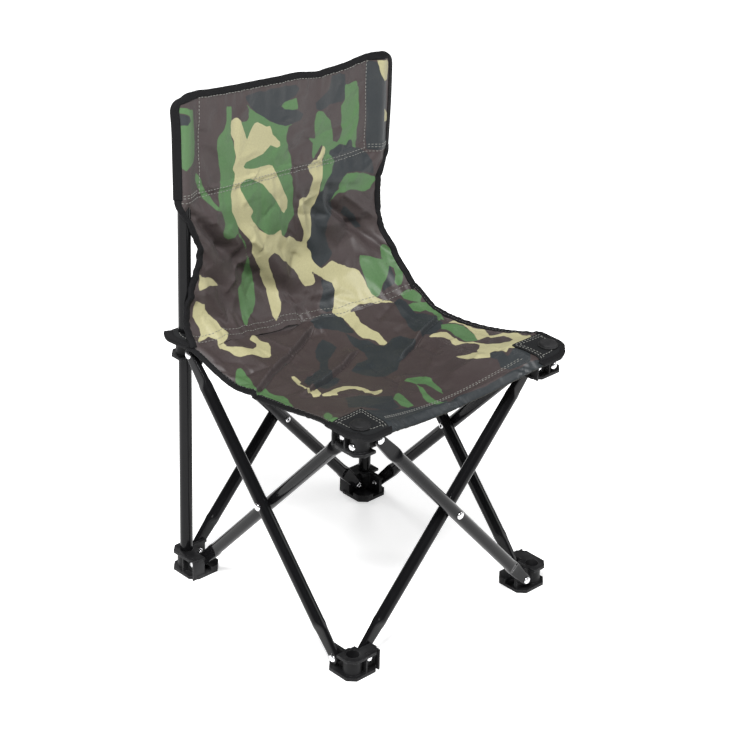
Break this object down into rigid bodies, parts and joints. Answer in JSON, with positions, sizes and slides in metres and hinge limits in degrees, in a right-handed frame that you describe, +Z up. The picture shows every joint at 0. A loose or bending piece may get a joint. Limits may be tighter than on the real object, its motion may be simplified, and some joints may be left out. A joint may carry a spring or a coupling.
{
  "type": "folding camp chair",
  "caption": "Low folding camp chair: square four-sided scissor frame of steel tube, moulded corner fittings, two back posts, slack cloth seat and sleeved cloth back.",
  "frame": {"origin": "on the ground, in the middle of the chair seen from above", "axes": "+Z up, the sitter faces -Y, and the left hand is towards +X"},
  "size_m": [0.348, 0.348, 0.624],
  "materials": {
    "black_tube": "glossy black paint",
    "bright_rivet": "bright plated",
    "black_button": "smooth moulded",
    "black_plug": "smooth moulded",
    "black_moulding": "satin moulded",
    "corner_patch": "woven, printed",
    "camouflage_cloth": "woven, printed camouflage"
  },
  "bodies": {
    "front_right_foot": {"front_right_foot": "black_moulding", "front_inner_foot_rivet": "bright_rivet", "right_outer_foot_rivet": "bright_rivet"},
    "front_right_hub": {"front_right_hub": "black_moulding", "front_outer_hub_rivet": "bright_rivet", "right_inner_hub_rivet": "bright_rivet", "front_right_patch": "corner_patch", "front_seat_hem": "camouflage_cloth", "front_right_button": "black_button", "front_right_button_rivet": "bright_rivet"},
    "front_panel": {"front_seat_panel": "camouflage_cloth"},
    "front_inner_leg": {"front_inner_leg": "black_tube"},
    "front_outer_leg": {"front_outer_leg": "black_tube", "front_cross_rivet": "bright_rivet"},
    "front_left_foot": {"front_left_foot": "black_moulding", "left_inner_foot_rivet": "bright_rivet", "front_outer_foot_rivet": "bright_rivet"},
    "front_left_hub": {"front_left_hub": "black_moulding", "left_outer_hub_rivet": "bright_rivet", "front_inner_hub_rivet": "bright_rivet", "front_left_patch": "corner_patch", "left_seat_hem": "camouflage_cloth", "front_left_button": "black_button", "front_left_button_rivet": "bright_rivet"},
    "left_panel": {"left_seat_panel": "camouflage_cloth"},
    "left_inner_leg": {"left_inner_leg": "black_tube"},
    "left_outer_leg": {"left_outer_leg": "black_tube", "left_cross_rivet": "bright_rivet"},
    "rear_left_foot": {"rear_left_foot": "black_moulding", "rear_inner_foot_rivet": "bright_rivet", "left_outer_foot_rivet": "bright_rivet", "rear_left_back_post": "black_tube", "rear_left_post_plug": "black_plug", "left_back_sleeve": "camouflage_cloth"},
    "rear_left_hub": {"rear_left_slider": "black_moulding", "rear_outer_hub_rivet": "bright_rivet", "left_inner_hub_rivet": "bright_rivet", "rear_left_patch": "corner_patch", "rear_seat_hem": "camouflage_cloth"},
    "rear_panel": {"rear_seat_panel": "camouflage_cloth"},
    "rear_inner_leg": {"rear_inner_leg": "black_tube"},
    "rear_outer_leg": {"rear_outer_leg": "black_tube", "rear_cross_rivet": "bright_rivet"},
    "rear_right_foot": {"rear_right_foot": "black_moulding", "right_inner_foot_rivet": "bright_rivet", "rear_outer_foot_rivet": "bright_rivet", "rear_right_back_post": "black_tube", "rear_right_post_plug": "black_plug", "right_back_sleeve": "camouflage_cloth", "upper_back_cloth": "camouflage_cloth"},
    "rear_right_hub": {"rear_right_slider": "black_moulding", "right_outer_hub_rivet": "bright_rivet", "rear_inner_hub_rivet": "bright_rivet", "rear_right_patch": "corner_patch", "right_seat_hem": "camouflage_cloth", "lower_back_cloth": "camouflage_cloth"},
    "right_panel": {"right_seat_panel": "camouflage_cloth"},
    "right_inner_leg": {"right_inner_leg": "black_tube"},
    "right_outer_leg": {"right_outer_leg": "black_tube", "right_cross_rivet": "bright_rivet"}
  },
  "joints": [
    {"name": "fold", "type": "hinge", "parent": "front_right_foot", "child": "front_inner_leg", "pos_m": [-0.132, -0.145, 0.0165], "axis": [0, -1, 0], "range_deg": [0, 37.8], "deforming": ["front_seat_hem", "front_seat_panel", "left_seat_hem", "left_seat_panel", "rear_seat_hem", "rear_seat_panel", "right_seat_hem", "right_seat_panel", "lower_back_cloth", "upper_back_cloth"]},
    {"name": "front_left_hub_pivot", "type": "hinge", "parent": "front_inner_leg", "child": "front_left_hub", "pos_m": [0.132, -0.145, 0.3125], "axis": [0, -1, 0], "range_deg": [-37.9, 0]},
    {"name": "front_cross", "type": "hinge", "parent": "front_inner_leg", "child": "front_outer_leg", "pos_m": [0, -0.145, 0.1645], "axis": [0, -1, 0], "range_deg": [-75.7, 0]},
    {"name": "front_left_foot_pivot", "type": "hinge", "parent": "front_outer_leg", "child": "front_left_foot", "pos_m": [0.132, -0.1614, 0.0165], "axis": [0, -1, 0], "range_deg": [0, 37.9]},
    {"name": "right_outer_leg_pivot", "type": "hinge", "parent": "front_right_foot", "child": "right_outer_leg", "pos_m": [-0.1614, -0.132, 0.0165], "axis": [-1, 0, 0], "range_deg": [-37.9, 0]},
    {"name": "rear_right_hub_pivot", "type": "hinge", "parent": "right_outer_leg", "child": "rear_right_hub", "pos_m": [-0.1614, 0.132, 0.3125], "axis": [-1, 0, 0], "range_deg": [0, 37.9]},
    {"name": "right_cross", "type": "hinge", "parent": "right_outer_leg", "child": "right_inner_leg", "pos_m": [-0.1614, 0, 0.1645], "axis": [-1, 0, 0], "range_deg": [0, 75.7]},
    {"name": "rear_right_foot_pivot", "type": "hinge", "parent": "right_inner_leg", "child": "rear_right_foot", "pos_m": [-0.145, 0.132, 0.0165], "axis": [-1, 0, 0], "range_deg": [-37.9, 0]},
    {"name": "front_right_hub_pivot", "type": "hinge", "parent": "right_inner_leg", "child": "front_right_hub", "pos_m": [-0.145, -0.132, 0.3125], "axis": [-1, 0, 0], "range_deg": [-37.9, 0]},
    {"name": "left_inner_leg_pivot", "type": "hinge", "parent": "front_left_foot", "child": "left_inner_leg", "pos_m": [0.145, -0.132, 0.0165], "axis": [1, 0, 0], "range_deg": [0, 37.9]},
    {"name": "rear_left_hub_pivot", "type": "hinge", "parent": "left_inner_leg", "child": "rear_left_hub", "pos_m": [0.145, 0.132, 0.3125], "axis": [1, 0, 0], "range_deg": [-37.9, 0]},
    {"name": "left_cross", "type": "hinge", "parent": "left_inner_leg", "child": "left_outer_leg", "pos_m": [0.145, 0, 0.1645], "axis": [1, 0, 0], "range_deg": [-75.7, 0]},
    {"name": "rear_left_foot_pivot", "type": "hinge", "parent": "left_outer_leg", "child": "rear_left_foot", "pos_m": [0.1614, 0.132, 0.0165], "axis": [1, 0, 0], "range_deg": [0, 37.9]},
    {"name": "rear_outer_leg_pivot", "type": "hinge", "parent": "rear_right_foot", "child": "rear_outer_leg", "pos_m": [-0.132, 0.1614, 0.0165], "axis": [0, 1, 0], "range_deg": [-37.9, 0]},
    {"name": "rear_cross", "type": "hinge", "parent": "rear_outer_leg", "child": "rear_inner_leg", "pos_m": [0, 0.1614, 0.1645], "axis": [0, 1, 0], "range_deg": [0, 75.7]},
    {"name": "front_seat_bend", "type": "hinge", "parent": "front_right_hub", "child": "front_panel", "pos_m": [-0.1445, -0.1355, 0.3302], "axis": [-1, 0, 0], "range_deg": [0, 83.2]},
    {"name": "left_seat_bend", "type": "hinge", "parent": "front_left_hub", "child": "left_panel", "pos_m": [0.1355, -0.1445, 0.3302], "axis": [0, -1, 0], "range_deg": [0, 83.2]},
    {"name": "rear_seat_bend", "type": "hinge", "parent": "rear_left_hub", "child": "rear_panel", "pos_m": [0.1445, 0.1355, 0.3302], "axis": [1, 0, 0], "range_deg": [0, 83.2]},
    {"name": "right_seat_bend", "type": "hinge", "parent": "rear_right_hub", "child": "right_panel", "pos_m": [-0.1355, 0.1445, 0.3302], "axis": [0, 1, 0], "range_deg": [0, 83.2]}
  ],
  "couplings": [
    {"joint": "front_left_hub_pivot", "follows": "fold", "ratio": -1},
    {"joint": "front_cross", "follows": "fold", "ratio": -2},
    {"joint": "front_left_foot_pivot", "follows": "fold", "ratio": 1},
    {"joint": "right_outer_leg_pivot", "follows": "fold", "ratio": -1},
    {"joint": "rear_right_hub_pivot", "follows": "fold", "ratio": 1},
    {"joint": "right_cross", "follows": "fold", "ratio": 2},
    {"joint": "rear_right_foot_pivot", "follows": "fold", "ratio": -1},
    {"joint": "front_right_hub_pivot", "follows": "fold", "ratio": -1},
    {"joint": "left_inner_leg_pivot", "follows": "fold", "ratio": 1},
    {"joint": "rear_left_hub_pivot", "follows": "fold", "ratio": -1},
    {"joint": "left_cross", "follows": "fold", "ratio": -2},
    {"joint": "rear_left_foot_pivot", "follows": "fold", "ratio": 1},
    {"joint": "rear_outer_leg_pivot", "follows": "fold", "ratio": -1},
    {"joint": "rear_cross", "follows": "fold", "ratio": 2},
    {"joint": "front_seat_bend", "follows": "fold", "ratio": 2.2},
    {"joint": "left_seat_bend", "follows": "fold", "ratio": 2.2},
    {"joint": "rear_seat_bend", "follows": "fold", "ratio": 2.2},
    {"joint": "right_seat_bend", "follows": "fold", "ratio": 2.2}
  ]
}
